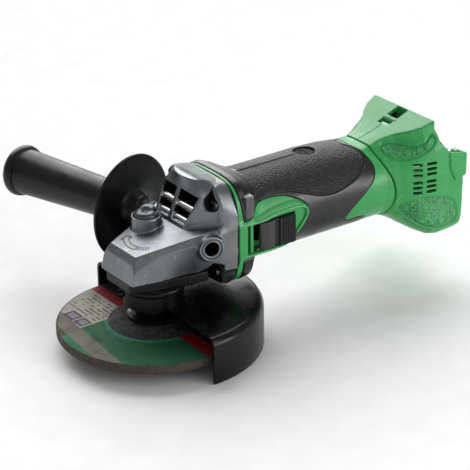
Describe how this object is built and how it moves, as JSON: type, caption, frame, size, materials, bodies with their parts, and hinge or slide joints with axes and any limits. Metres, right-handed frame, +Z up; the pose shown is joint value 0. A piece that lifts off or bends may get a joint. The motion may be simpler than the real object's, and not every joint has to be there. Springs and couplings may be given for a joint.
{
  "type": "angle grinder",
  "caption": "Cordless angle grinder with depressed-centre wheel, half-round guard, slide switch, spindle lock button and screw-in side handle; shown without its battery.",
  "frame": {"origin": "centre of the spindle's free lower end, on the spindle axis", "axes": "+Z up the spindle away from the wheel's working face, +X back along the motor to the battery end, +Y to the side-handle side"},
  "size_m": [0.2905, 0.2263, 0.112],
  "materials": {
    "die_cast": "satin",
    "green_plastic": "moulded satin",
    "grip_rubber": "textured",
    "black_plastic": "satin",
    "black_steel": "satin",
    "steel": "machined",
    "bearing_steel": "polished",
    "laminated_steel": "laminated",
    "magnet": "matt",
    "abrasive": "gritty",
    "felt": "felt",
    "copper": "drawn",
    "brass": "satin",
    "carbon": "matt",
    "board": "satin",
    "wire": "satin"
  },
  "bodies": {
    "body": {"gear_case": "die_cast", "gear_case_screws": "steel", "bearing_cover": "black_plastic", "bearing_cover_screws": "steel", "lower_bearing_outer": "bearing_steel", "dust_seal": "felt", "upper_bearing_outer": "bearing_steel", "pinion_bearing_outer": "bearing_steel", "bearing_retainer": "steel", "motor_housing": "green_plastic", "grip_overmould": "grip_rubber", "air_guide": "black_plastic", "magnet_yoke": "steel", "magnets": "magnet", "brush_holders": "brass", "carbon_brushes": "carbon", "brush_springs": "steel", "brush_caps": "black_plastic", "rear_bearing_outer": "bearing_steel", "rear_housing_left": "green_plastic", "rear_housing_right": "green_plastic", "rear_housing_screws": "steel", "switch_unit": "black_plastic", "control_board": "board", "terminal_block": "black_plastic", "contact_blades": "copper", "lead_wires": "wire", "side_handle": "black_plastic", "handle_stud": "steel", "switch_spring": "steel", "lock_spring": "steel"},
    "spindle": {"spindle": "steel", "ring_gear": "laminated_steel", "gear_key": "steel", "retaining_ring": "steel", "lower_bearing_inner": "bearing_steel", "upper_bearing_inner": "bearing_steel", "inner_flange": "steel", "grinding_wheel": "abrasive", "wheel_nut": "black_steel"},
    "armature": {"armature_shaft": "steel", "armature_core": "laminated_steel", "armature_windings": "copper", "commutator": "copper", "cooling_fan": "black_plastic", "pinion": "steel", "pinion_nut": "steel", "pinion_bearing_inner": "bearing_steel", "rear_bearing_inner": "bearing_steel"},
    "guard": {"wheel_guard": "black_steel", "guard_clamp_screw": "steel"},
    "switch_bar": {"switch_slide_bar": "black_plastic"},
    "switch_knob": {"switch_knob": "black_plastic"},
    "lock": {"lock_button": "black_plastic", "lock_pin": "steel"}
  },
  "joints": [
    {"name": "spindle_spin", "type": "hinge", "parent": "body", "child": "spindle", "pos_m": [0, 0, 0.03], "axis": [0, 0, 1], "continuous": true},
    {"name": "armature_spin", "type": "hinge", "parent": "body", "child": "armature", "pos_m": [0.08, 0, 0.067], "axis": [1, 0, 0], "continuous": true},
    {"name": "guard_turn", "type": "hinge", "parent": "body", "child": "guard", "pos_m": [0, 0, 0.03], "axis": [0, 0, 1], "range_deg": [-120, 120]},
    {"name": "switch_slide", "type": "slide", "parent": "body", "child": "switch_bar", "axis": [-1, 0, 0], "range_m": [0, 0.006], "deforming": ["switch_spring"]},
    {"name": "switch_rock", "type": "hinge", "parent": "switch_bar", "child": "switch_knob", "pos_m": [0.0825, -0.0245, 0.0668], "axis": [0, 0, 1], "range_deg": [-4, 0]},
    {"name": "lock_press", "type": "slide", "parent": "body", "child": "lock", "axis": [0, 0, -1], "range_m": [0, 0.005], "stiffness_N_per_m": 400, "deforming": ["lock_spring"]}
  ],
  "couplings": [
    {"joint": "armature_spin", "follows": "spindle_spin", "ratio": 3.3636}
  ]
}
